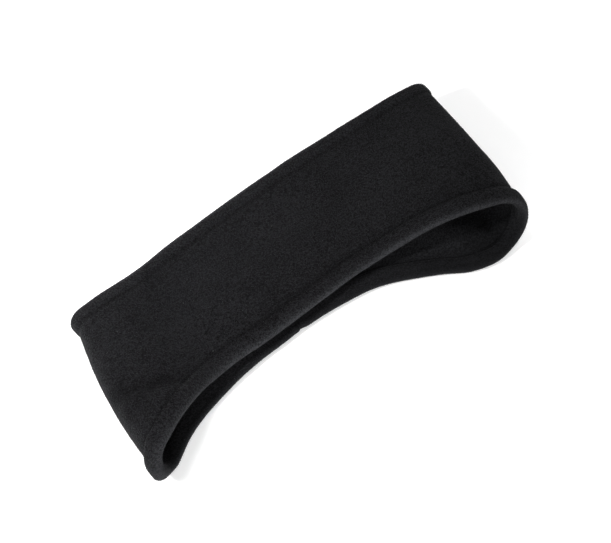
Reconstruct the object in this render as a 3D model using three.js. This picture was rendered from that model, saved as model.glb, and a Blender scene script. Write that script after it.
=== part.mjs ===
// Fleece headband (ear warmer), lying flattened on its back layer.
//
// Millimetres. +X runs along the flattened band to the right, +Y towards the upper
// edge (as worn), +Z up from the surface that it lies on. The loop is a fleece wall
// whose two long edges are turned in and stitched. Every surface here is worked out
// from one middle surface, which is found from two short tables: three cross-sections
// of the lying loop, and the two edge outlines as rows round the loop.
import * as THREE from 'three';

// ---- driving dimensions -------------------------------------------------------
const HEM_THICK = 5.3;          // turned hem: two layers of fleece and the stitching
const PANEL_THICK = 2.8;        // one layer of fleece with its pile
const PANEL_OUT = 2.1;          // panel's outer face from the middle surface
const PANEL_IN = PANEL_OUT - PANEL_THICK;
const REST = HEM_THICK / 2;     // middle surface of the back layer above the ground
const BOTTOM_HEM = 10.8;        // width of the lower hem, edge to stitch line
const TOP_HEM = 8.6;            // width of the upper hem
const GAP = 0.8;                // clearance between neighbouring solids
const FOLD_FLARE = 1.8;         // how far the hems stand out where the loop folds
const SEAM_WIDTH = 7.0;         // centre-back seam allowance, flattened
const SEAM_THICK = 1.6;
const SEAM_TURN = 0.535;        // place of the seam round the loop, near the centre back
const STATIONS = 104;           // steps round the loop
const ORIGIN = { x: 1.132, y: -3.784 };  // middle of the bounding box, before the shift

// Cross-sections of the lying loop at three places from the lower to the upper edge.
// half_length: from the middle to each fold, shift: sideways offset of the section,
// left/right: height of the open lobe at each fold, run_left/run_right: how far from
// the lobe the front layer takes to come down, gap: between the layers' middles at
// the centre, blunt_left/right: how round the fold is (1 is a half circle).
const SECTIONS = [
  { place: 'lower edge', at: 0.0, half_length: 120.6, shift: -2.5, left: 28.5, right: 34.8, run_left: 55.3, run_right: 82.6, gap: 7.4, blunt_left: 0.60, blunt_right: 0.84 },
  { place: 'half way',   at: 0.5, half_length: 124.7, shift: -0.3, left: 24.1, right: 30.5, run_left: 55.3, run_right: 70.8, gap: 8.2, blunt_left: 0.60, blunt_right: 0.84 },
  { place: 'upper edge', at: 1.0, half_length: 121.5, shift:  4.8, left: 17.7, right: 24.1, run_left: 53.9, run_right: 58.9, gap: 8.9, blunt_left: 0.60, blunt_right: 0.84 },
];

// The two edges, by place round the loop: turn 0 is the middle of the forehead,
// 1/4 the right ear's fold, 1/2 the middle of the back, 3/4 the left ear's fold.
const EDGES = [
  { place: 'forehead',           turn:    0 / 16, lower: -28.9, upper: 53.8 },
  { place: 'forehead right',     turn:    1 / 16, lower: -27.1, upper: 56.0 },
  { place: 'right temple',       turn:    2 / 16, lower: -32.3, upper: 56.2 },
  { place: 'before right ear',   turn:    3 / 16, lower: -42.6, upper: 50.3 },
  { place: 'right ear, front',   turn:  3.5 / 16, lower: -48.2, upper: 48.4 },
  { place: 'right fold',         turn:    4 / 16, lower: -53.6, upper: 48.7 },
  { place: 'right ear, under',   turn:  4.5 / 16, lower: -59.9, upper: 48.8 },
  { place: 'right ear, lowest',  turn:    5 / 16, lower: -63.5, upper: 49.2 },
  { place: 'right ear, rear',    turn:  5.5 / 16, lower: -60.1, upper: 49.8 },
  { place: 'behind right ear',   turn:    6 / 16, lower: -51.2, upper: 50.7 },
  { place: 'back right',         turn:    7 / 16, lower: -37.2, upper: 51.7 },
  { place: 'centre back',        turn:    8 / 16, lower: -33.5, upper: 52.6 },
  { place: 'back left',          turn:    9 / 16, lower: -34.4, upper: 52.9 },
  { place: 'behind left ear',    turn:   10 / 16, lower: -39.2, upper: 49.2 },
  { place: 'left ear, rear',     turn:   11 / 16, lower: -50.2, upper: 42.8 },
  { place: 'left ear, under',    turn: 11.5 / 16, lower: -60.5, upper: 38.7 },
  { place: 'left fold',          turn:   12 / 16, lower: -63.6, upper: 36.3 },
  { place: 'left ear, front',    turn: 12.5 / 16, lower: -54.3, upper: 38.2 },
  { place: 'before left ear',    turn:   13 / 16, lower: -45.3, upper: 40.4 },
  { place: 'left temple',        turn:   14 / 16, lower: -33.3, upper: 47.0 },
  { place: 'forehead left',      turn:   15 / 16, lower: -31.4, upper: 50.7 },
];

// Sections across a hem: across is the distance in from the edge as a share of the
// hem's width, rise the distance from the middle surface as a share of half its thickness.
const HEM_PROFILE = [
  { across: 0.00, rise:  0.45 },
  { across: 0.08, rise:  0.84 },
  { across: 0.22, rise:  1.00 },
  { across: 0.74, rise:  1.00 },
  { across: 0.90, rise:  0.84 },
  { across: 1.00, rise:  0.55 },
  { across: 1.00, rise: -0.50 },
  { across: 0.90, rise: -0.84 },
  { across: 0.74, rise: -1.00 },
  { across: 0.22, rise: -1.00 },
  { across: 0.08, rise: -0.84 },
  { across: 0.00, rise: -0.45 },
];

// ---- the middle surface ---------------------------------------------------------
const smoother = q => q * q * q * (10 - 15 * q + 6 * q * q);
const clamp01 = q => Math.min(1, Math.max(0, q));

// one side of a section, from the middle of the front layer round the fold to the
// middle of the back layer, as [x, z] points with x away from the middle
function halfSection(row, height, run, blunt) {
  const foldStart = row.half_length - blunt * height / 2;
  const points = [];
  for (let i = 0; i <= 90; i++) {
    const x = foldStart * i / 90;
    const rise = 1 - smoother(clamp01((foldStart - x) / run));
    points.push([x, REST + row.gap + (height - row.gap) * rise]);
  }
  for (let i = 1; i <= 40; i++) {
    const a = Math.PI * (0.5 - i / 40);
    points.push([foldStart + blunt * height / 2 * Math.cos(a), REST + height / 2 + height / 2 * Math.sin(a)]);
  }
  points.push([0, REST]);
  return points;
}

// the whole closed section, read by its share of the way round
function sectionReader(row) {
  const right = halfSection(row, row.right, row.run_right, row.blunt_right);
  const left = halfSection(row, row.left, row.run_left, row.blunt_left)
    .reverse().slice(1).map(([x, z]) => [-x, z]);
  const loop = right.concat(left);
  const along = [0];
  for (let i = 1; i < loop.length; i++) {
    along.push(along[i - 1] + Math.hypot(loop[i][0] - loop[i - 1][0], loop[i][1] - loop[i - 1][1]));
  }
  const total = along[along.length - 1];
  return turn => {
    const want = (turn - Math.floor(turn)) * total;
    let low = 0;
    let high = along.length - 1;
    while (high - low > 1) {
      const mid = (low + high) >> 1;
      if (along[mid] <= want) low = mid; else high = mid;
    }
    const t = (want - along[low]) / (along[high] - along[low]);
    return [
      loop[low][0] + t * (loop[high][0] - loop[low][0]) + row.shift,
      loop[low][1] + t * (loop[high][1] - loop[low][1]),
    ];
  };
}
const readers = SECTIONS.map(sectionReader);

// a smooth closed curve through the rows of EDGES, which are closer together at the folds
function edgeAt(column, turn) {
  const n = EDGES.length;
  const q = turn - Math.floor(turn);
  let i = n - 1;
  while (EDGES[i].turn > q) i--;
  const rows = [-1, 0, 1, 2].map(k => EDGES[(i + k + n) % n]);
  const [a, b, c, d] = rows.map(row => row[column]);
  const [ta, tb, tc, td] = rows.map((row, k) => row.turn + Math.floor((i + k - 1) / n));
  const h = tc - tb;
  const f = (q - tb) / h;
  const slopeB = ((c - b) / h * (tb - ta) + (b - a) / (tb - ta) * h) / (tc - ta);
  const slopeC = ((d - c) / (td - tc) * h + (c - b) / h * (td - tc)) / (td - tb);
  return b + f * (h * slopeB + f * (3 * (c - b) - h * (2 * slopeB + slopeC)
    + f * (2 * (b - c) + h * (slopeB + slopeC))));
}

// point of the middle surface: turn round the loop, up from the lower (0) to the upper edge (1)
function middle(turn, up) {
  const weights = [(1 - up) * (1 - 2 * up), 4 * up * (1 - up), up * (2 * up - 1)];
  let x = 0;
  let z = 0;
  readers.forEach((reader, k) => {
    const [sx, sz] = reader(turn);
    x += weights[k] * sx;
    z += weights[k] * sz;
  });
  const lower = edgeAt('lower', turn);
  const upper = edgeAt('upper', turn);
  return new THREE.Vector3(x, lower + (upper - lower) * up, Math.max(z, REST));
}

function outward(turn, up) {
  const du = 0.0015;
  const dv = 0.01;
  const along = middle(turn + du, up).sub(middle(turn - du, up));
  const across = middle(turn, up + dv).sub(middle(turn, up - dv));
  return along.cross(across).normalize();
}

// distance from an edge into how far up that is
function upFromLower(turn, distance) {
  let last = middle(turn, 0);
  let walked = 0;
  for (let i = 1; i <= 60; i++) {
    const next = middle(turn, i / 60);
    const step = next.distanceTo(last);
    if (walked + step >= distance) return (i - 1 + (distance - walked) / step) / 60;
    walked += step;
    last = next;
  }
  return 1;
}
function upFromUpper(turn, distance) {
  let last = middle(turn, 1);
  let walked = 0;
  for (let i = 59; i >= 0; i--) {
    const next = middle(turn, i / 60);
    const step = next.distanceTo(last);
    if (walked + step >= distance) return (i + 1 - (distance - walked) / step) / 60;
    walked += step;
    last = next;
  }
  return 0;
}

// a point off the middle surface; hems also flare a little outwards, but not
// downwards, where the loop folds
function off(turn, up, rise, flare = 0) {
  const n = outward(turn, up);
  const point = middle(turn, up).addScaledVector(n, rise);
  point.x += flare * n.x * Math.abs(n.x);
  point.y += flare * n.y * Math.abs(n.x);
  return point;
}

// stations round the loop, closer together at the two folds
const turns = Array.from({ length: STATIONS }, (_, i) => {
  const t = i / STATIONS;
  return t + 0.045 * Math.sin(4 * Math.PI * t);
});

// ---- solids ---------------------------------------------------------------------
// rings: a list of rings of points; each ring is closed, and so is the list if closed is true
function skin(rings, closed) {
  const n = rings[0].length;
  const positions = [];
  rings.forEach(ring => ring.forEach(p => positions.push(p.x, p.y, p.z)));
  const index = [];
  const last = closed ? rings.length : rings.length - 1;
  for (let i = 0; i < last; i++) {
    const next = (i + 1) % rings.length;
    for (let j = 0; j < n; j++) {
      const k = (j + 1) % n;
      index.push(i * n + j, next * n + j, next * n + k);
      index.push(i * n + j, next * n + k, i * n + k);
    }
  }
  if (!closed) {
    for (let j = 1; j < n - 1; j++) {
      index.push(0, j, j + 1);
      const base = (rings.length - 1) * n;
      index.push(base, base + j + 1, base + j);
    }
  }
  // outward faces: the signed volume has to be positive
  let volume = 0;
  const at = i => new THREE.Vector3(positions[3 * i], positions[3 * i + 1], positions[3 * i + 2]);
  for (let i = 0; i < index.length; i += 3) {
    volume += at(index[i]).dot(at(index[i + 1]).cross(at(index[i + 2]))) / 6;
  }
  if (volume < 0) {
    for (let i = 0; i < index.length; i += 3) {
      [index[i + 1], index[i + 2]] = [index[i + 2], index[i + 1]];
    }
  }
  const geometry = new THREE.BufferGeometry();
  geometry.setAttribute('position', new THREE.Float32BufferAttribute(positions, 3));
  geometry.setIndex(index);
  geometry.computeVertexNormals();
  return geometry;
}

function hemRings(width, findUp) {
  return turns.map(turn => HEM_PROFILE.map(({ across, rise }) =>
    off(turn, findUp(turn, across * width), rise * HEM_THICK / 2, FOLD_FLARE)));
}

function panelRings() {
  const steps = 6;
  return turns.map(turn => {
    const low = upFromLower(turn, BOTTOM_HEM + GAP);
    const high = upFromUpper(turn, TOP_HEM + GAP);
    const ring = [];
    for (let i = 0; i <= steps; i++) ring.push(off(turn, low + (high - low) * i / steps, PANEL_OUT));
    for (let i = steps; i >= 0; i--) ring.push(off(turn, low + (high - low) * i / steps, PANEL_IN));
    return ring;
  });
}

// the seam allowance lies open on the inside of the back layer, between the hems
function seamRings() {
  const steps = 8;
  const loopLength = 541;
  const half = SEAM_WIDTH / 2 / loopLength;
  const face = PANEL_IN - GAP;
  const rows = [
    { side: -1.0, rise: face },
    { side: -1.0, rise: face - 0.6 * SEAM_THICK },
    { side: -0.5, rise: face - SEAM_THICK },
    { side: 0.5, rise: face - SEAM_THICK },
    { side: 1.0, rise: face - 0.6 * SEAM_THICK },
    { side: 1.0, rise: face },
  ];
  return Array.from({ length: steps + 1 }, (_, i) => rows.map(({ side, rise }) => {
    const turn = SEAM_TURN + side * half;
    const low = upFromLower(turn, BOTTOM_HEM + 1.5);
    const high = upFromUpper(turn, TOP_HEM + 1.5);
    return off(turn, low + (high - low) * i / steps, rise);
  }));
}

const fleece = shade => new THREE.MeshStandardMaterial({ color: shade, roughness: 0.95, metalness: 0 });
const group = new THREE.Group();
function add(name, geometry, shade) {
  const mesh = new THREE.Mesh(geometry, fleece(shade));
  mesh.name = name;
  mesh.position.set(-ORIGIN.x, -ORIGIN.y, 0);
  group.add(mesh);
}
add('fleece_band', skin(panelRings(), true), 0x1c1c1d);
add('bottom_hem', skin(hemRings(BOTTOM_HEM, upFromLower), true), 0x202021);
add('top_hem', skin(hemRings(TOP_HEM, upFromUpper), true), 0x202021);
add('back_seam', skin(seamRings(), false), 0x1a1a1b);

export default group;
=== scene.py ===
"""Looks of the fleece headband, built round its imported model. Metres; lengths in the tables are millimetres."""

import math

import bpy
import numpy as np
from mathutils import Matrix, Vector


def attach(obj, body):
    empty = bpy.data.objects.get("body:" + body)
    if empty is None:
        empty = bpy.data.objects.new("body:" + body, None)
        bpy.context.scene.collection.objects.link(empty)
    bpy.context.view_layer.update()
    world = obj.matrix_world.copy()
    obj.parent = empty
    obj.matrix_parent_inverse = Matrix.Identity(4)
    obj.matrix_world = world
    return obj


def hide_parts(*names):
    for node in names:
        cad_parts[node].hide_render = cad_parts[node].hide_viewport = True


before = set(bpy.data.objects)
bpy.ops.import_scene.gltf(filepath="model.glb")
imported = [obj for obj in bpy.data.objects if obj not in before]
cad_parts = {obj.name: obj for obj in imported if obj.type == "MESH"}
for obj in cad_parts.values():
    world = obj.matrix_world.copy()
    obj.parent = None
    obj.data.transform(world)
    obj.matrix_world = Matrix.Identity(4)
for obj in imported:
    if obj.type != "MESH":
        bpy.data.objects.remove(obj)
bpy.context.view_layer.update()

MM = 0.001

# ---- the construction's own sizes, as in the part's source ------------------------
HEM_THICK = 5.3
PANEL_OUT = 2.1
PANEL_IN = -0.7
REST = HEM_THICK / 2
FOLD_FLARE = {"low": 2.6, "high": 1.1}
ORIGIN = (1.132, -3.784)
LOOP = 541.0  # length round the middle of the band

# at, half_length, shift, left, right, run_left, run_right, gap, blunt_left, blunt_right
SECTIONS = [
    dict(at=0.0, half_length=120.6, shift=-2.5, left=28.5, right=34.8, run_left=55.3, run_right=82.6, gap=7.4, blunt_left=0.60, blunt_right=0.84),
    dict(at=0.5, half_length=124.7, shift=-0.3, left=24.1, right=30.5, run_left=55.3, run_right=70.8, gap=8.2, blunt_left=0.60, blunt_right=0.84),
    dict(at=1.0, half_length=121.5, shift=4.8, left=17.7, right=24.1, run_left=53.9, run_right=58.9, gap=8.9, blunt_left=0.60, blunt_right=0.84),
]

# place, turn round the loop, lower edge, upper edge
EDGES = [
    ("forehead", 0 / 16, -28.9, 53.8),
    ("forehead right", 1 / 16, -27.1, 56.0),
    ("right temple", 2 / 16, -32.3, 56.2),
    ("before right ear", 3 / 16, -42.6, 50.3),
    ("right ear, front", 3.5 / 16, -48.2, 48.4),
    ("right fold", 4 / 16, -53.6, 48.7),
    ("right ear, under", 4.5 / 16, -59.9, 48.8),
    ("right ear, lowest", 5 / 16, -63.5, 49.2),
    ("right ear, rear", 5.5 / 16, -60.1, 49.8),
    ("behind right ear", 6 / 16, -51.2, 50.7),
    ("back right", 7 / 16, -37.2, 51.7),
    ("centre back", 8 / 16, -33.5, 52.6),
    ("back left", 9 / 16, -34.4, 52.9),
    ("behind left ear", 10 / 16, -39.2, 49.2),
    ("left ear, rear", 11 / 16, -50.2, 42.8),
    ("left ear, under", 11.5 / 16, -60.5, 38.7),
    ("left fold", 12 / 16, -63.6, 36.3),
    ("left ear, front", 12.5 / 16, -54.3, 38.2),
    ("before left ear", 13 / 16, -45.3, 40.4),
    ("left temple", 14 / 16, -33.3, 47.0),
    ("forehead left", 15 / 16, -31.4, 50.7),
]
TURNS, LOWER, UPPER = (np.array([row[k] for row in EDGES]) for k in (1, 2, 3))


def smooth(t):
    t = np.clip(t, 0.0, 1.0)
    return t * t * (3 - 2 * t)


def smoother(t):
    t = np.clip(t, 0.0, 1.0)
    return t * t * t * (10 - 15 * t + 6 * t * t)


# ---- the middle surface -----------------------------------------------------------
def half_section(row, height, run, blunt):
    start = row["half_length"] - blunt * height / 2
    x = start * np.arange(91) / 90
    z = REST + row["gap"] + (height - row["gap"]) * (1 - smoother((start - x) / run))
    a = np.pi * (0.5 - np.arange(1, 41) / 40)
    x = np.concatenate([x, start + blunt * height / 2 * np.cos(a), [0.0]])
    z = np.concatenate([z, REST + height / 2 + height / 2 * np.sin(a), [REST]])
    return x, z


def section_reader(row):
    xr, zr = half_section(row, row["right"], row["run_right"], row["blunt_right"])
    xl, zl = half_section(row, row["left"], row["run_left"], row["blunt_left"])
    x = np.concatenate([xr, -xl[::-1][1:]])
    z = np.concatenate([zr, zl[::-1][1:]])
    along = np.concatenate([[0.0], np.cumsum(np.hypot(np.diff(x), np.diff(z)))])

    def read(turn):
        want = (turn % 1.0) * along[-1]
        return np.interp(want, along, x) + row["shift"], np.interp(want, along, z)

    return read


READERS = [section_reader(row) for row in SECTIONS]


def edge_at(values, turn):
    n = len(TURNS)
    q = turn % 1.0
    i = np.searchsorted(TURNS, q, side="right") - 1
    (a, ta), (b, tb), (c, tc), (d, td) = (
        (values[(i + k) % n], TURNS[(i + k) % n] + np.floor((i + k) / n)) for k in (-1, 0, 1, 2)
    )
    h = tc - tb
    f = (q - tb) / h
    slope_b = ((c - b) / h * (tb - ta) + (b - a) / (tb - ta) * h) / (tc - ta)
    slope_c = ((d - c) / (td - tc) * h + (c - b) / h * (td - tc)) / (td - tb)
    return b + f * (
        h * slope_b + f * (3 * (c - b) - h * (2 * slope_b + slope_c) + f * (2 * (b - c) + h * (slope_b + slope_c)))
    )


def middle(turn, up):
    weights = ((1 - up) * (1 - 2 * up), 4 * up * (1 - up), up * (2 * up - 1))
    x = z = 0.0
    for weight, read in zip(weights, READERS):
        sx, sz = read(turn)
        x = x + weight * sx
        z = z + weight * sz
    low, high = edge_at(LOWER, turn), edge_at(UPPER, turn)
    y = low + (high - low) * up
    return np.stack(np.broadcast_arrays(x, y, np.maximum(z, REST)), axis=-1)


def outward(turn, up):
    along = middle(turn + 0.0015, up) - middle(turn - 0.0015, up)
    across = middle(turn, up + 0.01) - middle(turn, up - 0.01)
    n = np.cross(along, across)
    return n / np.linalg.norm(n, axis=-1, keepdims=True)


# ---- smooth noise, the same on every run --------------------------------------------
def lattice(i, j, k, seed):
    h = (i * 374761393 + j * 668265263 + k * 2147483647 + seed * 974634777) & 0xFFFFFFFF
    h = ((h ^ (h >> 13)) * 1274126177) & 0xFFFFFFFF
    h = (h ^ (h >> 16)) & 0xFFFFFF
    return h / float(0x7FFFFF) - 1.0


def noise(p, size, seed=0):
    """Value noise from -1 to 1 at points p, with lumps about size across."""
    q = np.asarray(p, float) / size
    i = np.floor(q).astype(np.int64)
    f = smoother(q - i)
    total = 0.0
    for dx in (0, 1):
        for dy in (0, 1):
            for dz in (0, 1):
                w = (
                    (f[..., 0] if dx else 1 - f[..., 0])
                    * (f[..., 1] if dy else 1 - f[..., 1])
                    * (f[..., 2] if dz else 1 - f[..., 2])
                )
                total = total + w * lattice(i[..., 0] + dx, i[..., 1] + dy, i[..., 2] + dz, seed)
    return total


# ---- the fleece as one fine closed mesh -----------------------------------------------
STATIONS = 440
SEAM_TURN = 0.535  # the centre back, where the band's two ends are joined

# the stitch lines' distance in from each edge, by turn: the hem is a little narrower round the folds
LOW_GROOVE = [(0.0, 9.3), (0.10, 9.9), (0.17, 10.6), (0.225, 9.6), (0.31, 8.0), (0.36, 8.9), (0.41, 9.5), (0.50, 9.7), (0.60, 9.9), (0.72, 10.1), (0.80, 10.2), (0.90, 9.6), (1.0, 9.3)]
HIGH_GROOVE = [(0.0, 9.5), (0.25, 9.0), (0.5, 8.8), (0.75, 9.0), (1.0, 9.5)]

# the lower edge's own small shift towards the upper one
EDGE_IN = [(0.0, 0.34), (0.20, 0.34), (0.27, 0.0), (0.34, -0.22), (0.64, -0.22), (0.72, 0.0), (0.80, 0.34), (1.0, 0.34)]

# soft creases: turn and mm from the lower edge at points along each, depth and half width in mm, and how much painted
# shade darkens the outer face along each
CREASES = [
    dict(path=[(0.758, 44.0), (0.7831, 32.0), (0.7956, 24.2), (0.810, 19.6), (0.828, 12.4), (0.846, 10.4)], deep=1.5, wide=3.8, painted_crease_shade=0.44),
    dict(path=[(0.766, 27.0), (0.7831, 19.0), (0.7888, 12.6)], deep=0.8, wide=3.2, painted_crease_shade=0.16),
    dict(path=[(0.235, 34.0), (0.205, 24.0), (0.175, 15.5), (0.150, 12.0)], deep=0.35, wide=4.6, painted_crease_shade=0.05),
    dict(path=[(0.300, 30.0), (0.345, 26.0), (0.385, 30.0)], deep=0.7, wide=6.5, painted_crease_shade=0.0),
]

RIM = 2.65
PROUD = 0.52
PANEL_ROWS = {1: 50, -1: 44}


def table(rows, turn):
    x, y = np.array(rows).T
    return np.interp(turn % 1.0, x, y)


def profile_distances(groove, clear, side):
    """Distances in from an edge, one row per station: round the rim, over the hem, close together at the stitch line."""
    g = np.asarray(groove, float)[:, None]
    rim = np.broadcast_to(RIM * (1 - np.cos(np.linspace(0, np.pi / 2, 8))), (len(g), 8))
    share = np.linspace(0, 1, 8)[None, 1:]
    hem = RIM + share * (g - 2.2 - RIM)
    if side > 0:
        near = np.array([-1.75, -1.35, -1.0, -0.7, -0.45, -0.22, 0.0, 0.22, 0.45, 0.7, 1.0, 1.35, 1.8, 2.4, 3.2, 4.2])
    else:
        near = np.array([-1.7, -1.2, -0.8, -0.5, -0.25, 0.0, 0.25, 0.5, 0.72, 0.86, 0.98, 1.10, 1.25, 1.6, 2.4, 3.4, 4.6])
    rest = g + near[-1] + np.linspace(0, 1, 3)[None, 1:] * (clear - near[-1])
    return np.concatenate([rim, hem, g + near[None, :], rest], axis=1)


def rim_round(d, radius=RIM):
    return (1 - (1 - np.clip(d / radius, 0, 1)) ** 2.15) ** (1 / 2.15)


def hem_face(d, groove, deep, side):
    """Height of a face over the middle surface, at distance d in from an edge with its stitch line at groove."""
    half = HEM_THICK / 2
    q = np.clip(d / groove, 0, 2)
    over = half - 0.42 * np.abs((q - 0.46) / 0.54) ** 3
    if side > 0:
        blend = smooth((d - groove + 1.9) / 3.8)
        puff = 0.10 * np.exp(-(((d - groove - 3.6) / 2.0) ** 2))
        face = over * (1 - blend) + (PANEL_OUT + puff) * blend
        pinch = np.exp(-np.abs((d - groove) / 1.6) ** 1.5)
        return face * rim_round(d) - deep * 0.5 * pinch
    # inside: the turned edge ends a little past the stitches and steps down to the panel
    step = smooth((d - groove - 0.86) / 0.30)
    flap = over - 0.35 * smooth((d - groove + 0.2) / 1.1)
    face = flap * (1 - step) - PANEL_IN * step
    pinch = np.exp(-np.abs((d - groove) / 0.55) ** 1.8)
    return -(face * rim_round(d) - deep * 0.62 * pinch * (1 - step))


def crease_shape(crease, turns, d):
    """One crease's share of its depth at each point, from the distance to its line."""
    path = np.array(crease["path"]) * (LOOP, 1.0)
    lengths = np.hypot(*np.diff(path, axis=0).T)
    starts = np.concatenate([[0.0], np.cumsum(lengths)])
    best = np.full(d.shape, 1e9)
    along = np.zeros(d.shape)
    for k in range(len(lengths)):
        (ax, ay), (bx, by) = path[k], path[k + 1]
        px, py = turns * LOOP - ax, d - ay
        ex, ey = (bx - ax) / lengths[k], (by - ay) / lengths[k]
        t = np.clip(px * ex + py * ey, 0, lengths[k])
        away = np.hypot(px - t * ex, py - t * ey)
        nearer = away < best
        best = np.where(nearer, away, best)
        along = np.where(nearer, starts[k] + t, along)
    share = along / starts[-1]
    fade = smooth(share / 0.25 + 0.25) * smooth((1 - share) / 0.35 + 0.15)
    return fade * np.exp(-((best / crease["wide"]) ** 2))


def stations():
    """Turns round the loop, closer together at the folds and at the seam."""
    t = np.linspace(0, 1, 4001)
    density = 1.0
    for fold in (0.25, 0.75):
        density = density + 0.55 * np.exp(-(((t - fold) / 0.05) ** 2))
    density = density + 2.2 * np.exp(-(((t - SEAM_TURN) / 0.011) ** 2))
    walked = np.concatenate([[0.0], np.cumsum((density[1:] + density[:-1]) / 2)])
    return np.interp(np.arange(STATIONS) / STATIONS, walked / walked[-1], t)


def grid_normals(p):
    """Unit normals of a grid of points that closes both ways, out of the cloth."""
    n = np.cross(np.roll(p, -1, 0) - np.roll(p, 1, 0), np.roll(p, -1, 1) - np.roll(p, 1, 1))
    return n / np.maximum(np.linalg.norm(n, axis=-1, keepdims=True), 1e-15)


def build_fleece():
    turn = stations()
    ups = np.linspace(0, 1, 121)
    line = middle(turn[:, None], ups[None, :])
    walked = np.concatenate(
        [np.zeros((STATIONS, 1)), np.cumsum(np.linalg.norm(np.diff(line, axis=1), axis=2), axis=1)], axis=1
    )
    total = walked[:, -1]
    low_groove, high_groove = table(LOW_GROOVE, turn), table(HIGH_GROOVE, turn)
    rings = []
    for side in (1, -1):
        low_d = profile_distances(low_groove, 7.0, side)
        high_d = profile_distances(high_groove, 7.0, side)
        share = np.linspace(0, 1, PANEL_ROWS[side] + 2)[None, 1:-1]
        start, end = low_d[:, -1:], (total[:, None] - high_d[:, -1:])
        d = np.concatenate([low_d, start + share * (end - start), total[:, None] - high_d[:, ::-1]], axis=1)
        if side < 0:  # the two faces share the rims' outermost points
            d = d[:, 1:-1][:, ::-1]
        up = np.stack([np.interp(d[i], walked[i], ups) for i in range(STATIONS)])
        rings.append((side, d, up))
    side = np.concatenate([np.full(r[1].shape[1], r[0]) for r in rings])[None, :]
    d = np.concatenate([r[1] for r in rings], axis=1)
    up = np.concatenate([r[2] for r in rings], axis=1)
    turns = np.broadcast_to(turn[:, None], d.shape)
    high = total[:, None] - d
    groove_low = np.broadcast_to(low_groove[:, None], d.shape)
    groove_high = np.broadcast_to(high_groove[:, None], d.shape)

    mid = middle(turns, up)
    n = outward(turns, np.clip(up, 0.02, 0.98))

    # the cloth's own place, wrapped to a cylinder so that noise closes round the loop
    wrap = np.stack([np.cos(turns * 2 * np.pi), np.sin(turns * 2 * np.pi)], axis=-1) * LOOP / (2 * np.pi)
    ring = np.concatenate([wrap, np.where(d < total[:, None] / 2, 0.0, 90.0)[..., None]], axis=-1)
    body = np.concatenate([wrap, d[..., None]], axis=-1)

    # stitches pull the cloth in unevenly along the hems
    pull = 0.85 + 0.30 * noise(ring, 8.0, 3) + 0.22 * noise(ring, 3.4, 4)
    rise = np.zeros(d.shape)
    for s in (1, -1):
        low = hem_face(d, groove_low, pull, s)
        top = hem_face(high, groove_high, pull * 0.6, s)
        rise = np.where(side == s, np.where(d < total[:, None] / 2, low, top), rise)

    # the panel is slightly uneven, the hems slightly wavy
    inner = smooth((d - groove_low - 1) / 9) * smooth((high - groove_high - 1) / 9)
    fold = np.abs(n[..., 0]) ** 2
    wave = (0.30 * noise(body, 42.0, 11) + 0.11 * noise(body, 17.0, 12)) * inner * (1 - 0.6 * fold)
    wave = wave + 0.05 * noise(body, 6.5, 13)
    fine = 0.05 * noise(body, 3.1, 14) + 0.05 * noise(body, 1.9, 15)
    # painted shade: the outer face is made darker along each crease
    painted_crease_shade = np.zeros(d.shape)
    for crease in CREASES:
        shape = crease_shape(crease, turns, d)
        wave = wave - crease["deep"] * shape
        painted_crease_shade = painted_crease_shade + crease["painted_crease_shade"] * shape * (side > 0)

    # centre back: a seam valley outside, and a thicker place in each hem where the allowances are turned in with it
    off_seam = (turns - SEAM_TURN) * LOOP
    seam = np.exp(-np.abs(off_seam / 0.95) ** 1.6)
    rise = rise - np.where(side > 0, 0.75 * seam, 0.0)
    in_hem = np.maximum(smooth((groove_low + 0.6 - d) / 1.5), smooth((groove_high + 0.6 - high) / 1.5))
    lump = in_hem * smooth((5.2 - np.abs(off_seam)) / 2.4) * (1 - 0.55 * np.exp(-((off_seam / 0.8) ** 2)))
    rise = rise - np.where(side < 0, 0.75 * lump * rim_round(np.minimum(d, high)), 0.0)

    # the lower hem's inner layer bunches up where it's folded sharply at the left
    bunch = 3.0 * np.exp(-(((turns - 0.740) / 0.020) ** 2)) * smooth((8.5 - d) / 5.5)
    rise = rise - np.where(side < 0, bunch * rim_round(d), 0.0)

    p = mid + n * (rise + wave + fine * side)[..., None]
    flare = FOLD_FLARE["low"] * smooth((groove_low + 1.4 - d) / 3.2) + FOLD_FLARE["high"] * smooth((groove_high + 2.2 - high) / 4.6)
    p[..., 0] += flare * n[..., 0] * np.abs(n[..., 0])
    p[..., 1] += flare * n[..., 1] * np.abs(n[..., 0])

    # the top hem's corner sticks out at the left fold, and the panel bulges a little at the right one
    p[..., 0] -= 2.0 * (1 - smooth((high - 1.0) / 7.0)) * np.clip(-n[..., 0], 0, 1) ** 2
    p[..., 0] += 1.2 * np.exp(-(((d - 28.0) / 15.0) ** 2)) * np.clip(n[..., 0], 0, 1) ** 2

    # rims are a little uneven, and step at the seam where the two ends don't quite meet
    at_low, at_high = smooth((6.0 - d) / 6.0), smooth((6.0 - high) / 6.0)
    uneven = 0.15 * noise(ring, 16.0, 21) + 0.06 * noise(ring, 5.0, 22)
    past = smooth(off_seam / 1.4 + 0.5)
    jog = past * 0.25 * smooth((off_seam - 3.0) / 6.0) * smooth((26.0 - off_seam) / 12.0)
    jog = jog - (1 - past) * (0.72 * np.exp(-((off_seam / 3.6) ** 2)) - 0.15 * smooth((-off_seam - 2.5) / 3) * smooth((24 + off_seam) / 14))
    p[..., 1] += (uneven + table(EDGE_IN, turns)) * at_low - uneven * at_high - jog * at_low

    # the pile's matted surface stands a little proud of the knit
    out = np.where(side > 0, 1.0, smooth((3.0 - np.minimum(d, high)) / 3.0))
    p = p + grid_normals(p) * (PROUD * out)[..., None]

    # the back layer sags the last of the way on to the ground, and nothing is under it
    lying = np.clip(-n[..., 2], 0, 1) ** 6 * inner
    p[..., 2] -= 0.5 * lying
    p[..., 2] = np.maximum(p[..., 2], 0.05)

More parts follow.
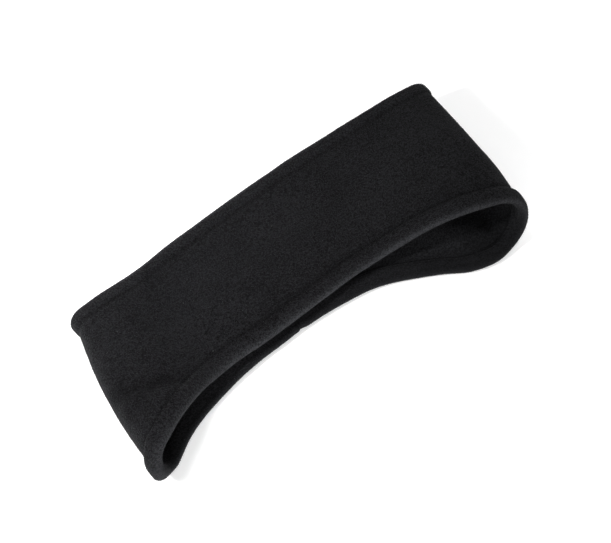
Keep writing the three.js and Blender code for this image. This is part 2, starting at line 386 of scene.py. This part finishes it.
    p[..., 0] -= ORIGIN[0]
    p[..., 1] -= ORIGIN[1]
    facts = dict(
        turn=turns,
        d=d,
        high=high,
        side=np.broadcast_to(side, d.shape),
        low_groove=groove_low,
        high_groove=groove_high,
        painted_crease_shade=painted_crease_shade,
        off_seam=off_seam,
    )
    return p * MM, facts


def mesh_from(name, verts, faces, smooth_shade=True):
    """A mesh object from arrays: verts (n, 3) and faces (m, 3 or 4)."""
    verts = np.ascontiguousarray(verts, dtype=np.float32)
    faces = np.ascontiguousarray(faces, dtype=np.int32)
    k = faces.shape[1]
    mesh = bpy.data.meshes.new(name)
    mesh.vertices.add(len(verts))
    mesh.vertices.foreach_set("co", verts.ravel())
    mesh.loops.add(faces.size)
    mesh.loops.foreach_set("vertex_index", faces.ravel())
    mesh.polygons.add(len(faces))
    mesh.polygons.foreach_set("loop_start", np.arange(0, faces.size, k, dtype=np.int32))
    mesh.polygons.foreach_set("loop_total", np.full(len(faces), k, dtype=np.int32))
    if smooth_shade:
        mesh.polygons.foreach_set("use_smooth", np.ones(len(faces), dtype=bool))
    mesh.update(calc_edges=True)
    obj = bpy.data.objects.new(name, mesh)
    bpy.context.scene.collection.objects.link(obj)
    return obj


def ring_faces(rows, columns):
    i, j = np.meshgrid(np.arange(rows), np.arange(columns), indexing="ij")
    ii, jj = (i + 1) % rows, (j + 1) % columns
    return np.stack([i * columns + j, ii * columns + j, ii * columns + jj, i * columns + jj], axis=-1).reshape(-1, 4)


def part_map(obj, uv):
    """Gives a mesh a UV map named OFBake; uv has one row per face corner."""
    layer = obj.data.uv_layers.new(name="OFBake")
    layer.data.foreach_set("uv", np.ascontiguousarray(uv, dtype=np.float32).ravel())


# ---- materials ---------------------------------------------------------------------------
class Nodes:
    """A few lines of node making."""

    def __init__(self, name):
        self.mat = bpy.data.materials.new(name)
        self.mat.use_nodes = True
        self.tree = self.mat.node_tree
        self.tree.nodes.clear()
        out = self.tree.nodes.new("ShaderNodeOutputMaterial")
        self.shader = self.tree.nodes.new("ShaderNodeBsdfPrincipled")
        self.tree.links.new(self.shader.outputs["BSDF"], out.inputs["Surface"])
        self.coord = self.tree.nodes.new("ShaderNodeTexCoord")

    def set(self, **values):
        for name, value in values.items():
            self.shader.inputs[name.replace("_", " ")].default_value = value

    def noise(self, size_mm, detail=2.0, rough=0.55, distortion=0.0):
        node = self.tree.nodes.new("ShaderNodeTexNoise")
        node.inputs["Scale"].default_value = 1000.0 / size_mm
        node.inputs["Detail"].default_value = detail
        node.inputs["Roughness"].default_value = rough
        node.inputs["Distortion"].default_value = distortion
        self.tree.links.new(self.coord.outputs["Object"], node.inputs["Vector"])
        return node.outputs["Fac"]

    def add(self, a, factor, b=None, plus=0.0):
        """a * factor + b, or + plus where there is no b."""
        node = self.tree.nodes.new("ShaderNodeMath")
        node.operation = "MULTIPLY_ADD"
        self.tree.links.new(a, node.inputs[0])
        node.inputs[1].default_value = factor
        if b is None:
            node.inputs[2].default_value = plus
        else:
            self.tree.links.new(b, node.inputs[2])
        return node.outputs[0]

    def ramp(self, value, stops):
        node = self.tree.nodes.new("ShaderNodeValToRGB")
        self.tree.links.new(value, node.inputs["Fac"])
        ramp = node.color_ramp
        while len(ramp.elements) < len(stops):
            ramp.elements.new(0.5)
        for element, (place, color) in zip(ramp.elements, stops):
            element.position = place
            element.color = (*color, 1)
        return node.outputs["Color"]

    def attribute(self, name):
        node = self.tree.nodes.new("ShaderNodeAttribute")
        node.attribute_name = name
        return node.outputs["Fac"]

    def mix(self, factor, color, other):
        """color where the factor is 0, and the other, a node's output, where it's 1"""
        node = self.tree.nodes.new("ShaderNodeMix")
        node.data_type = "RGBA"
        self.tree.links.new(factor, node.inputs["Factor"])
        node.inputs[6].default_value = (*color, 1)
        self.tree.links.new(other, node.inputs[7])
        return node.outputs[2]

    def brighter(self, color, factor):
        """color * (1 + factor)"""
        node = self.tree.nodes.new("ShaderNodeVectorMath")
        node.operation = "MULTIPLY_ADD"
        self.tree.links.new(color, node.inputs[0])
        self.tree.links.new(factor, node.inputs[1])
        self.tree.links.new(color, node.inputs[2])
        return node.outputs[0]

    def bump(self, height, strength, distance_mm):
        node = self.tree.nodes.new("ShaderNodeBump")
        node.inputs["Strength"].default_value = strength
        node.inputs["Distance"].default_value = distance_mm * MM
        self.tree.links.new(height, node.inputs["Height"])
        self.tree.links.new(node.outputs["Normal"], self.shader.inputs["Normal"])

    def link(self, value, name):
        self.tree.links.new(value, self.shader.inputs[name])


# painted rim sheen, by turn: paler colour strong all round the front, weak at the back where the band lies flat on the
# ground
PAINTED_SHEEN_BY_TURN = [(0.0, 1.22), (0.09, 1.0), (0.14, 0.80), (0.17, 0.68), (0.20, 0.64), (0.235, 0.55), (0.27, 0.40), (0.36, 0.28), (0.56, 0.36), (0.64, 0.56), (0.70, 0.55), (0.74, 0.66), (0.77, 0.74), (0.90, 0.93), (1.0, 1.22)]

# how much paler the painted sheen makes the colour, by the distance round the edge from its outermost line: at the rim
# itself, and further on
PAINTED_RIM_SHEEN = [(0.0, 2.7), (1.2, 2.9), (2.0, 1.55), (2.6, 0.95), (3.2, 0.42), (4.0, 0.12), (5.0, 0.0)]
PAINTED_HEM_SHEEN = [(0.0, 0.85), (3.1, 0.85), (3.7, 0.62), (4.3, 0.44), (5.2, 0.24), (6.6, 0.10), (8.0, 0.0)]
# how far round to the inside the painted rim sheen goes
PAINTED_SHEEN_INSIDE_REACH = [(0.0, 0.8), (0.50, 0.8), (0.54, 2.0), (0.68, 2.2), (0.71, 3.2), (0.765, 3.2), (0.79, 0.8), (1.0, 0.8)]
# how much of the second there is, by turn
PAINTED_HEM_SHEEN_BY_TURN = [(0.0, 0.45), (0.22, 0.35), (0.30, 0.3), (0.70, 0.3), (0.78, 0.8), (0.90, 1.0), (1.0, 0.45)]

# painted shade: a broad soft darker band just above the lower stitch line, by turn
PAINTED_HOLLOW_SHADE = [(0.0, 1.0), (0.2, 1.0), (0.25, 0.0), (0.75, 0.0), (0.85, 0.3), (1.0, 1.0)]
# half width of the painted shade line along the outer lower stitch groove
PAINTED_GROOVE_SHADE_WIDTH = [(0.0, 1.9), (0.10, 1.8), (0.20, 1.5), (0.75, 1.2), (0.84, 1.4), (0.93, 2.0), (1.0, 1.9)]
# painted light and shade on the inside faces, by turn: near the edges, past the hems and deeper in; paler where more
# light is wanted inside the loop, darker at the left end's inside
PAINTED_LIGHT_NEAR_INSIDE_EDGES = [(0.0, 0.1), (0.46, 0.1), (0.52, 0.6), (0.58, 0.9), (0.64, 0.9), (0.68, 0.25), (0.72, -0.1), (0.78, 0.0), (1.0, 0.1)]
PAINTED_LIGHT_INSIDE_PANEL = [(0.0, 0.6), (0.24, 0.5), (0.27, -0.1), (0.32, -0.05), (0.35, 0.7), (0.45, 0.8), (0.5, 0.6), (1.0, 0.6)]
PAINTED_LIGHT_DEEP_INSIDE = [(0.0, 1.0), (0.26, 1.0), (0.30, 0.5), (0.36, 0.15), (0.43, 0.15), (0.47, 1.0), (0.68, 1.0), (0.74, 0.5), (0.8, 1.0), (1.0, 1.0)]

BLACK = np.array((0.00665, 0.00675, 0.0074))  # the fleece's mean colour


def fleece_material(name, tone=1.0):
    """Brushed micro-fleece: small matted clumps of pile, with the knit under them only just felt."""
    m = Nodes(name)
    m.set(Roughness=0.95, Specular_IOR_Level=0.06, Sheen_Weight=0.28, Sheen_Roughness=0.36)
    m.set(Sheen_Tint=(0.13, 0.13, 0.138, 1))
    pile = m.noise(0.85, 1.0, 0.6, 0.5)
    clump = m.noise(2.6, 1.0, 0.5, 0.4)
    broad = m.noise(30.0, 2.0, 0.5)
    height = m.add(clump, 0.08, m.add(pile, 0.92))
    shade = m.add(broad, 0.12, m.add(height, 1.0))
    low, high = BLACK * 0.03 * tone, BLACK * 2.15 * tone
    grainy = m.ramp(shade, [(0.45, tuple(low)), (0.67, tuple(high))])
    plain = m.mix(m.attribute("grain"), tuple(BLACK * tone), grainy)
    # the painted light and shade are laid into the base colour here
    m.link(m.brighter(plain, m.attribute("painted_light_and_tone")), "Base Color")
    m.bump(height, 1.0, 0.75)
    return m.mat


def pile_material(name, tone=1.0):
    """Single fibres: some duller, some catching more light."""
    m = Nodes(name)
    m.set(Specular_IOR_Level=0.16)
    fibre = m.noise(0.9, 2.0, 0.6)
    low, high = BLACK * 0.7 * tone, BLACK * 2.1 * tone
    plain = m.ramp(fibre, [(0.32, tuple(low)), (0.72, tuple(high))])
    # the fibres take the painted light and shade into their base colour here
    m.link(m.brighter(plain, m.attribute("painted_light_and_tone")), "Base Color")
    m.link(m.add(fibre, 0.5, None, 0.35), "Roughness")
    return m.mat


def thread_material(name):
    """Black polyester sewing thread, twisted."""
    m = Nodes(name)
    m.set(Specular_IOR_Level=0.22)
    ply = m.noise(0.30, 2.0, 0.5)
    m.link(m.ramp(ply, [(0.3, (0.003, 0.003, 0.0033)), (0.75, (0.008, 0.008, 0.0085))]), "Base Color")
    m.link(m.add(ply, 0.25, None, 0.38), "Roughness")
    m.bump(ply, 0.5, 0.12)
    return m.mat


def lint_material(name):
    m = Nodes(name)
    m.set(Roughness=0.9, Specular_IOR_Level=0.2)
    dust = m.noise(0.5, 1.0, 0.5)
    m.link(m.ramp(dust, [(0.3, (0.03, 0.03, 0.03)), (0.7, (0.06, 0.06, 0.055))]), "Base Color")
    return m.mat


def floor_material():
    m = Nodes("pale_floor")
    m.set(Roughness=0.9, Specular_IOR_Level=0.1)
    m.link(m.ramp(m.noise(330.0, 2.0, 0.5), [(0.0, (0.90, 0.90, 0.90)), (1.0, (0.92, 0.92, 0.92))]), "Base Color")
    m.set(Emission_Color=(1.0, 1.0, 1.0, 1.0), Emission_Strength=0.30)  # a light table, as round the photo's cut-out
    return m.mat


# ---- the loop of fleece --------------------------------------------------------------------
points, facts = build_fleece()
rows, columns = points.shape[:2]
normals = grid_normals(points)
fleece = mesh_from("fleece_loop", points.reshape(-1, 3), ring_faces(rows, columns))
fleece.data.materials.append(fleece_material("black_fleece"))


def loop_map():
    """The loop unrolled in two strips, one above the other, each half the way round and the whole profile high."""
    i, j = np.meshgrid(np.arange(rows), np.arange(columns), indexing="ij")
    half = rows // 2
    strip = (i >= half).astype(float)
    u0, u1 = (i - strip * half) / half, (i - strip * half + 1) / half
    v0, v1 = j / columns, (j + 1) / columns
    corners = [(u0, v0), (u1, v0), (u1, v1), (u0, v1)]
    uv = np.stack([np.stack([0.004 + 0.992 * u, 0.5 * strip + 0.004 + 0.492 * v], -1) for u, v in corners], axis=2)
    return uv.reshape(-1, 2)


part_map(fleece, loop_map())


def painted_light_and_tone():
    """How much paler or darker the colour is made at each point of the loop, mostly painted light and shade.

    Painted sheen makes it paler round the edges and on the right fold, painted light on the top hem's outer face;
    painted shade makes it darker along the stitch lines, the creases, the left fold and over the right fold's stitch
    line. It is also darker beside the seam inside the hems. Inside, painted light and shade make it paler or darker by
    turn.
    """
    turns, d, high, low_groove, high_groove = (facts[k] for k in ("turn", "d", "high", "low_groove", "high_groove"))
    outside = facts["side"] > 0
    edge = np.minimum(d, high)
    round_rim = RIM * np.arccos(np.clip(1 - edge / RIM, -1, 1))
    walked = np.where(edge < RIM, round_rim, RIM * np.pi / 2 + edge - RIM)
    at_rim, at_hem = (np.interp(walked, *np.array(rows).T) for rows in (PAINTED_RIM_SHEEN, PAINTED_HEM_SHEEN))
    # painted sheen: the colour is made paler towards each rim, where the fleece turns edge-on to the camera
    painted_rim_sheen = (at_rim + at_hem * table(PAINTED_HEM_SHEEN_BY_TURN, turns)) * table(PAINTED_SHEEN_BY_TURN, turns)
    painted_rim_sheen = painted_rim_sheen * np.where(outside, 1.0, np.exp(-walked / table(PAINTED_SHEEN_INSIDE_REACH, turns)))
    # painted light: the top hem's outer face is made a little paler
    painted_rim_sheen = painted_rim_sheen + 0.14 * outside * smooth((high_groove - 0.5 - high) / 2)
    from_low, from_high = d - low_groove, high - high_groove
    # painted shade: darker along the stitch grooves outside, and along the turned-in hems' edges inside
    painted_groove_shade = np.where(
        outside,
        0.46 * np.exp(-((from_low / table(PAINTED_GROOVE_SHADE_WIDTH, turns)) ** 2)) + 0.36 * np.exp(-((from_high / 1.1) ** 2)),
        0.62 * np.exp(-(((from_low - 0.95) / 0.6) ** 2)) + 0.5 * np.exp(-(((from_high - 0.95) / 0.5) ** 2)),
    )
    in_hem = (np.minimum(from_low, from_high) < 0.5) & ~outside
    seam = 0.5 * in_hem * np.exp(-(((np.abs(facts["off_seam"]) - 1.0) / 0.7) ** 2))
    past_hem = np.minimum(from_low, from_high)
    # painted light and shade: nap here holds the inside faces' painted light and shade, not a real lie of the pile
    nap = table(PAINTED_LIGHT_INSIDE_PANEL, turns) * smooth(past_hem - 0.5) + 0.55 * table(PAINTED_LIGHT_DEEP_INSIDE, turns) * smooth((past_hem - 2.0) / 8.0)
    nap = np.where(outside, 0.0, nap + table(PAINTED_LIGHT_NEAR_INSIDE_EDGES, turns) * smooth((edge - 1.0) / 4.0))
    # painted sheen on the right fold's outer face and painted shade on the left one's, and a broad soft painted shade
    # over the right one's stitch line
    painted_fold_light = 0.55 * np.exp(-(((turns - 0.262) / 0.011) ** 2)) - 0.30 * np.exp(-(((turns - 0.752) / 0.012) ** 2))
    painted_fold_light = painted_fold_light * smooth(past_hem - 1.0) * outside
    painted_hollow_shade = 0.13 * np.exp(-(((from_low - 3.5) / 4.0) ** 2)) * table(PAINTED_HOLLOW_SHADE, turns) * outside
    return painted_rim_sheen - painted_groove_shade - seam - facts["painted_crease_shade"] + nap + painted_fold_light - painted_hollow_shade


def give(obj, name, values):
    """A value at each of a mesh's points, for its material."""
    layer = obj.data.attributes.new(name, "FLOAT", "POINT")
    layer.data.foreach_set("value", np.ascontiguousarray(values, dtype=np.float32).ravel())


lightness = painted_light_and_tone()
give(fleece, "painted_light_and_tone", lightness)
# the grain is made more even within a few mm of an edge, under the painted rim sheen
calm = np.exp(-((np.minimum(facts["d"], facts["high"]) / 3.6) ** 2))  # the open pile round an edge is more even
give(fleece, "grain", np.where(facts["side"] > 0, 0.74 * (1 - 0.45 * calm), 0.53 * (1 - 0.5 * calm)))
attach(fleece, "root")
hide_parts("fleece_band", "bottom_hem", "top_hem")


# ---- the centre-back seam: two allowances pressed open inside the back layer -------------------
def build_seam():
    verts, faces, base = [], [], 0
    length_rows, around = 72, 18
    low = table(LOW_GROOVE, SEAM_TURN) + 0.2
    line = middle(np.array([SEAM_TURN]), np.linspace(0, 1, 201))
    walked = np.concatenate([[0.0], np.cumsum(np.linalg.norm(np.diff(line, axis=0), axis=1))])
    high = walked[-1] - table(HIGH_GROOVE, SEAM_TURN) - 0.2
    d = np.linspace(low, high, length_rows)
    up = np.interp(d, walked, np.linspace(0, 1, 201))
    a = np.arange(around) / around * 2 * np.pi
    for hand in (-1, 1):
        c, s = np.cos(a), np.sin(a)
        across = 1.95 + 1.70 * np.sign(c) * np.abs(c) ** 0.62
        tall = 0.42 + 0.74 * np.sign(s) * np.abs(s) ** 0.72
        place = np.stack([np.full(length_rows, hand * 40.0), d, d * 0], -1)
        edge = 0.22 * noise(place, 6.0, 31) + 0.10 * noise(place, 2.2, 32)
        puff = 0.14 * noise(place, 9.0, 33)
        off = hand * (across[None, :] + edge[:, None] * smooth((c[None, :] + 0.2) / 0.8))
        turn = SEAM_TURN + off / LOOP
        up2 = np.broadcast_to(up[:, None], off.shape)
        rise = PANEL_IN - (tall[None, :] * (1 + puff[:, None]))
        p = middle(turn, up2) + outward(turn, up2) * rise[..., None]
        p[..., 2] -= 0.45
        p[..., 2] = np.maximum(p[..., 2], 0.3)
        verts.append(p.reshape(-1, 3))
        i, j = np.meshgrid(np.arange(length_rows - 1), np.arange(around), indexing="ij")
        jj = (j + 1) % around
        quad = np.stack([i * around + j, (i + 1) * around + j, (i + 1) * around + jj, i * around + jj], -1).reshape(-1, 4)
        if hand > 0:
            quad = quad[:, ::-1]
        tri = np.concatenate([quad[:, [0, 1, 2]], quad[:, [0, 2, 3]]])
        ring0 = np.arange(around)
        last = (length_rows - 1) * around
        cap0 = np.stack([np.full(around - 2, ring0[0]), ring0[1:-1], ring0[2:]], -1)
        cap1 = np.stack([np.full(around - 2, last), last + ring0[2:], last + ring0[1:-1]], -1)
        caps = np.concatenate([cap0, cap1])
        if hand > 0:
            caps = caps[:, ::-1]
        faces.append(np.concatenate([tri, caps]) + base)
        base += length_rows * around
    verts = np.concatenate(verts)
    verts[:, 0] -= ORIGIN[0]
    verts[:, 1] -= ORIGIN[1]
    return verts * MM, np.concatenate(faces)


seam_verts, seam_faces = build_seam()
seam = mesh_from("seam_allowances", seam_verts, seam_faces)
seam.data.materials.append(fleece_material("black_fleece_seam", 0.9))
# a constant paler tone for the seam allowances, in the same attribute
give(seam, "painted_light_and_tone", np.full(len(seam_verts), 0.2))
give(seam, "grain", np.full(len(seam_verts), 0.55))
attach(seam, "root")
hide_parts("back_seam")


# ---- sewing thread in the stitch lines -----------------------------------------------------------
def stitch_template():
    """A stitch from -1 to 1 along x: a slim body with pointed ends, 6 round."""
    stops = [(-0.86, 0.62), (-0.35, 1.0), (0.35, 1.0), (0.86, 0.62)]
    a = np.arange(6) / 6 * 2 * np.pi
    verts = [(-1.0, 0.0, 0.0)]
    for x, r in stops:
        verts += [(x, r * math.cos(t), r * math.sin(t)) for t in a]
    verts.append((1.0, 0.0, 0.0))
    faces = []
    for k in range(6):
        kk = (k + 1) % 6
        faces.append((0, 1 + kk, 1 + k))
        for ring in range(3):
            b, e = 1 + ring * 6, 7 + ring * 6
            faces += [(b + k, b + kk, e + kk), (b + k, e + kk, e + k)]
        faces.append((25, 19 + k, 19 + kk))
    return np.array(verts), np.array(faces)


def stitch_row(line, n, pitch, length, wide, tall, lift, dip, closed=True, seed=0):
    """Stitches along a line of points with normals: verts and faces."""
    if closed:
        line, n = np.concatenate([line, line[:1]]), np.concatenate([n, n[:1]])
    along = np.concatenate([[0.0], np.cumsum(np.linalg.norm(np.diff(line, axis=0), axis=1))])
    count = int(round(along[-1] / pitch))
    centres = (np.arange(count) + 0.5) * along[-1] / count

    def at(values, s):
        s = s % along[-1] if closed else np.clip(s, 0, along[-1])
        return np.stack([np.interp(s, along, values[:, k]) for k in range(3)], axis=-1)

    tv, tf = stitch_template()
    place = np.stack([centres, centres * 0 + seed, centres * 0], -1)
    skew = 0.10 * noise(place, 1.7 * pitch, 41 + seed)
    s = centres[:, None] + tv[None, :, 0] * length / 2
    p, m = at(line, s), at(n, s)
    m /= np.linalg.norm(m, axis=-1, keepdims=True)
    t = at(line, s + 0.2) - at(line, s - 0.2)
    t /= np.linalg.norm(t, axis=-1, keepdims=True)
    b = np.cross(m, t)
    x = tv[None, :, 0:1]
    p = p + b * (tv[None, :, 1:2] * wide / 2 + skew[:, None, None] * x)
    p = p + m * (tv[None, :, 2:3] * tall / 2 + lift - dip * x * x)
    faces = tf[None] + (np.arange(count) * len(tv))[:, None, None]
    return p.reshape(-1, 3), faces.reshape(-1, 3)


def column_at(side, which):
    on = np.nonzero(facts["side"][0] == side)[0]
    away = facts["d"][0, on] - facts["low_groove"][0, on] if which == "low" else facts["high"][0, on] - facts["high_groove"][0, on]
    return on[np.argmin(np.abs(away))]


stitch_verts, stitch_faces, base = [], [], 0
for side, which, seed in ((1, "low", 0), (1, "high", 1), (-1, "low", 2), (-1, "high", 3)):
    column = column_at(side, which)
    v, f = stitch_row(points[:, column] / MM, normals[:, column], 2.7, 2.35, 0.38, 0.30, -0.10, 0.20, True, seed)
    stitch_verts.append(v)
    stitch_faces.append(f + base)
    base += len(v)
stitch_verts = np.concatenate(stitch_verts)
stitch_verts[:, 2] = np.maximum(stitch_verts[:, 2], 0.06)
stitches = mesh_from("hem_stitches", stitch_verts * MM, np.concatenate(stitch_faces))
stitches.data.materials.append(thread_material("black_thread"))
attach(stitches, "root")


# ---- pile ---------------------------------------------------------------------------------------
def fibres(weight, count, seed, length=0.62, spread=0.34, thin=0.046, wisps=0.05):
    """Closed four-sided fibres rooted in the cloth, leaning with the nap of the clump they're in."""
    rng = np.random.default_rng(seed)
    p = points / MM
    a, b = p, np.roll(p, -1, 0)
    c, e = np.roll(b, -1, 1), np.roll(p, -1, 1)
    area = 0.5 * np.linalg.norm(np.cross(c - a, e - b), axis=-1)
    total = np.cumsum((area * weight).ravel())
    pick = np.searchsorted(total, (np.arange(count) + rng.random(count)) / count * total[-1])
    pick = np.minimum(pick, rows * columns - 1)
    i, j = pick // columns, pick % columns
    ii, jj = (i + 1) % rows, (j + 1) % columns
    u, v = rng.random(count)[:, None], rng.random(count)[:, None]

    def blend(g):
        return g[i, j] * (1 - u) * (1 - v) + g[ii, j] * u * (1 - v) + g[ii, jj] * u * v + g[i, jj] * (1 - u) * v

    at, n = blend(p), blend(normals)
    n /= np.linalg.norm(n, axis=1, keepdims=True)
    t = p[ii, j] - p[i, j]
    t -= n * np.sum(t * n, axis=1, keepdims=True)
    t /= np.maximum(np.linalg.norm(t, axis=1, keepdims=True), 1e-9)
    s = np.cross(n, t)
    turn = np.pi * (noise(at, 2.6, 51) + 0.7 * noise(at, 9.0, 52)) * 1.3 + rng.normal(0, 0.75, count)
    lean = np.clip(rng.normal(0.95, 0.24, count), 0.25, 1.40)
    long = np.clip(length * np.exp(rng.normal(0, spread, count)), 0.25, 1.3)
    loose = rng.random(count) < wisps
    long = np.where(loose, long * 1.7, long)
    lean = np.where(loose, lean * 0.6, lean)
    way = n * np.cos(lean)[:, None] + (t * np.cos(turn)[:, None] + s * np.sin(turn)[:, None]) * np.sin(lean)[:, None]
    root = at - n * 0.12
    tip = root + way * (long + 0.12)[:, None]
    tip[:, 2] = np.maximum(tip[:, 2], 0.03)
    way = tip - root
    way /= np.linalg.norm(way, axis=1, keepdims=True)
    x = np.cross(way, np.where(np.abs(way[:, 2:3]) < 0.9, [[0.0, 0.0, 1.0]], [[1.0, 0.0, 0.0]]))
    x /= np.linalg.norm(x, axis=1, keepdims=True)
    y = np.cross(way, x)
    wide = thin * (0.75 + 0.6 * rng.random(count))[:, None]
    verts = np.stack([root + x * wide, root + (-0.5 * x + 0.866 * y) * wide, root + (-0.5 * x - 0.866 * y) * wide, tip], axis=1)
    verts[..., 2] = np.maximum(verts[..., 2], 0.02)
    faces = np.array([(0, 1, 3), (1, 2, 3), (2, 0, 3), (0, 2, 1)])
    faces = (faces[None] + 4 * np.arange(count)[:, None, None]).reshape(-1, 3)
    # each fibre takes the painted light and shade of the cloth where it's rooted, softened
    return verts.reshape(-1, 3) * MM, faces, np.repeat(np.minimum(lightness[i, j], 0.55 * lightness[i, j] + 0.1), 4)


def fibre_map(count):
    """A cell for each fibre, with a corner of it for each of its four faces."""
    n = math.ceil(math.sqrt(count))
    k = np.arange(count)
    cell = np.stack([k % n, k // n], -1)[:, None, None, :]
    quarter = np.array([(0, 0), (1, 0), (0, 1), (1, 1)])[None, :, None, :] * 0.5
    corner = np.array([(0.04, 0.04), (0.46, 0.04), (0.04, 0.46)])[None, None, :, :]
    return ((cell + quarter + corner) / n).reshape(-1, 2)


facing = facts["side"]
rim_away = np.minimum(facts["d"], facts["high"])
outside = (facing > 0) & (rim_away > 2.0)
upward_part = normals[..., 2] > -0.15
PILES = [
    ("pile_front", outside & upward_part, 46000, 61, dict()),
    ("pile_back", outside & ~upward_part, 20000, 62, dict()),
    ("pile_inside", (facing < 0) & (rim_away > 2.0), 40000, 63, dict(length=0.55)),
    ("pile_rims", rim_away <= 2.2, 34000, 64, dict(length=0.60)),
]
for name, where_on, count, seed, shape in PILES:
    v, f, value = fibres(where_on.astype(float), count, seed, **shape)
    pile = mesh_from(name, v, f)
    pile.data.materials.append(pile_material("black_" + name))
    give(pile, "painted_light_and_tone", value)
    part_map(pile, fibre_map(count))
    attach(pile, "root")


# ---- a few specks of lint -------------------------------------------------------------------------
def build_lint():
    rng = np.random.default_rng(71)
    verts, faces, base = [], [], 0
    tv, tf = stitch_template()
    for turn, d in ((0.7963, 61.6), (0.8775, 45.4), (0.8788, 11.9), (0.9994, 53.1)):
        away = np.abs(((facts["turn"] - turn + 0.5) % 1 - 0.5) * LOOP) + np.abs(facts["d"] - d) + 1e3 * (facing < 0)
        i, j = np.unravel_index(np.argmin(away), away.shape)
        at, n = points[i, j] / MM, normals[i, j]
        for _ in range(2):
            way = np.cross(n, rng.normal(size=3))
            way /= np.linalg.norm(way)
            b = np.cross(n, way)
            size = (rng.uniform(0.30, 0.48), 0.10, 0.09)
            v = at + n * 0.42 + way * tv[:, 0:1] * size[0] + b * tv[:, 1:2] * size[1] + n * tv[:, 2:3] * size[2]
            verts.append(v + b * rng.uniform(-0.2, 0.2))
            faces.append(tf + base)
            base += len(tv)
    return np.concatenate(verts) * MM, np.concatenate(faces)


lint = mesh_from("lint_specks", *build_lint())
lint.data.materials.append(lint_material("grey_lint"))
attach(lint, "root")

# ---- floor, camera, light ----------------------------------------------------------------------
floor = mesh_from(
    "floor",
    np.array([(x, y, 0.0) for y in np.linspace(-3, 3, 9) for x in np.linspace(-3, 3, 9)]),
    np.array([(j * 9 + i, j * 9 + i + 1, (j + 1) * 9 + i + 1, (j + 1) * 9 + i) for j in range(8) for i in range(8)]),
)
floor.data.materials.append(floor_material())

FOCAL = 955.1  # in pixels of the 611 wide picture
SCALE = 1.74542  # pixels per millimetre at the camera's target
ELEVATION = math.radians(64.0)
YAW = math.radians(35.014)
AIM = (-6.282, 1.905)


def to_part(v):
    """From the camera's own upright frame into the part's frame, in metres."""
    x, y, z = v
    c, s = math.cos(YAW), math.sin(YAW)
    return Vector((x * c + y * s, -x * s + y * c, z))


camera_data = bpy.data.cameras.new("camera")
camera = bpy.data.objects.new("camera", camera_data)
bpy.context.scene.collection.objects.link(camera)
camera_data.sensor_width = 36.0
camera_data.lens = FOCAL * 36.0 / 611.0
distance = FOCAL / SCALE
look = Vector((0, math.cos(ELEVATION), -math.sin(ELEVATION)))
target = Vector((-AIM[0], -AIM[1], 0.0))
place = target - look * distance
right = to_part((1, 0, 0))
upward = to_part((0, math.sin(ELEVATION), math.cos(ELEVATION)))
back = to_part(tuple(-look))
shift = Vector((ORIGIN[0], ORIGIN[1], 0.0))
where = (to_part(tuple(place)) - shift) * MM
camera.matrix_world = Matrix(
    (
        (right.x, upward.x, back.x, where.x),
        (right.y, upward.y, back.y, where.y),
        (right.z, upward.z, back.z, where.z),
        (0, 0, 0, 1),
    )
)
camera_data.clip_start, camera_data.clip_end = 0.01, 50
bpy.context.scene.camera = camera


def area_light(name, place, aim, size, power, size_y=None, tint=(1, 1, 1)):
    """A soft box; place and aim are in the camera's upright frame, in metres."""
    data = bpy.data.lights.new(name, "AREA")
    data.energy = power
    data.color = tint
    data.shape = "RECTANGLE"
    data.size = size
    data.size_y = size_y or size
    obj = bpy.data.objects.new(name, data)
    bpy.context.scene.collection.objects.link(obj)
    p, a = to_part(place), to_part(aim)
    obj.location = p
    obj.rotation_mode = "QUATERNION"
    obj.rotation_quaternion = (a - p).to_track_quat("-Z", "Y")
    return obj


def toward(azimuth, elevation, distance):
    """A place from its direction, with azimuth from the back through the right, in the camera's upright frame."""
    a, e = math.radians(azimuth), math.radians(elevation)
    return (distance * math.sin(a) * math.cos(e), distance * math.cos(a) * math.cos(e), 0.015 + distance * math.sin(e))


LIGHTS = [
    ("left_lamp", toward(250, 39, 0.68), (0, 0, 0.015), 0.08, 3.9, None, 180),
    ("right_lamp", toward(91, 31, 1.4), (0, 0, 0.015), 0.16, 6.4, None, 180),
    ("high_left_soft_box", (-0.25, 0.30, 0.75), (-0.16, -0.05, 0), 0.30, 0.44, None, 40),
    ("back_soft_box", (0.0, 1.2, 0.7), (0, 0, 0), 1.0, 6.3, None, 180),
    ("front_soft_box", (0.0, -1.1, 0.32), (0, 0, 0.02), 1.0, 9.2, 0.5, 180),
]
for name, at, aim, size, power, size_y, spread in LIGHTS:
    area_light(name, at, aim, size, power, size_y).data.spread = math.radians(spread)

world = bpy.data.worlds.new("studio")
bpy.context.scene.world = world
world.use_nodes = True
world.node_tree.nodes["Background"].inputs["Color"].default_value = (1, 1, 1, 1)
world.node_tree.nodes["Background"].inputs["Strength"].default_value = 0.24

bpy.context.scene.view_settings.view_transform = "Standard"
